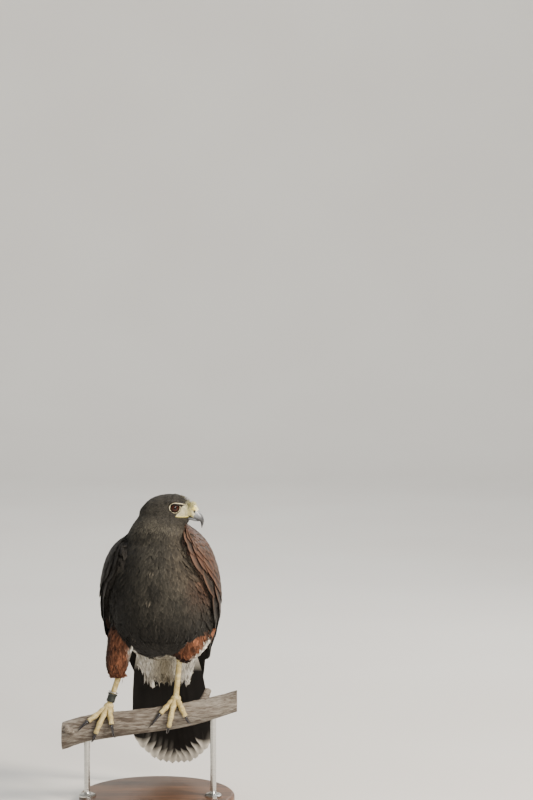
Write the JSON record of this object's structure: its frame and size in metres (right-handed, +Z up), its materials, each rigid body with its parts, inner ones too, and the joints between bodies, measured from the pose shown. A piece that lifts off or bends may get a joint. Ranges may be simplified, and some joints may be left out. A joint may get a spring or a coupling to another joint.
{
  "type": "harris hawk",
  "caption": "Life-size still Harris hawk perched on a cut branch, head turned to its left, on a plain round display stand.",
  "frame": {"origin": "centre of the underside of the round stand base", "axes": "+Z up, the bird faces -Y and looks towards +X, its own left side is +X"},
  "size_m": [0.265, 0.2465, 0.4777],
  "materials": {
    "dark_plumage": "matt dark sooty brown feathers",
    "wing_plumage": "matt blackish brown feathers, rufous at the shoulder",
    "tail_plumage": "black feathers with a white tip",
    "white_plumage": "matt off-white feathers",
    "rufous_plumage": "matt rufous feathers",
    "leg_skin": "scaly yellow skin",
    "cere_skin": "smooth yellow skin",
    "claw_horn": "polished black horn",
    "bill_horn": "blue-grey horn, darker at the tip",
    "eye": "clear glossy dark brown eye",
    "anklet_leather": "black leather with a black rim",
    "steel": "satin steel",
    "bark": "weathered grey stringy bark",
    "stand_wood": "dark stained and waxed wood"
  },
  "bodies": {
    "root": {"head": "dark_plumage", "neck": "dark_plumage", "torso": "dark_plumage", "wing_left": "wing_plumage", "wing_right": "wing_plumage", "tail": "tail_plumage", "undertail_coverts": "white_plumage", "thigh_left": "rufous_plumage", "thigh_right": "rufous_plumage", "tarsus_left": "leg_skin", "tarsus_right": "leg_skin", "foot_left": "leg_skin", "foot_right": "leg_skin", "claw_left_1": "claw_horn", "claw_left_2": "claw_horn", "claw_left_3": "claw_horn", "claw_left_4": "claw_horn", "claw_right_1": "claw_horn", "claw_right_2": "claw_horn", "claw_right_3": "claw_horn", "claw_right_4": "claw_horn", "eye_left": "eye", "eye_right": "eye", "cere": "cere_skin", "bill_upper": "bill_horn", "bill_lower": "bill_horn", "anklet_cuff": "anklet_leather", "anklet_ring": "steel", "perch_branch": "bark", "stand_base": "stand_wood", "stand_rod_left": "steel", "stand_rod_right": "steel"}
  },
  "joints": []
}
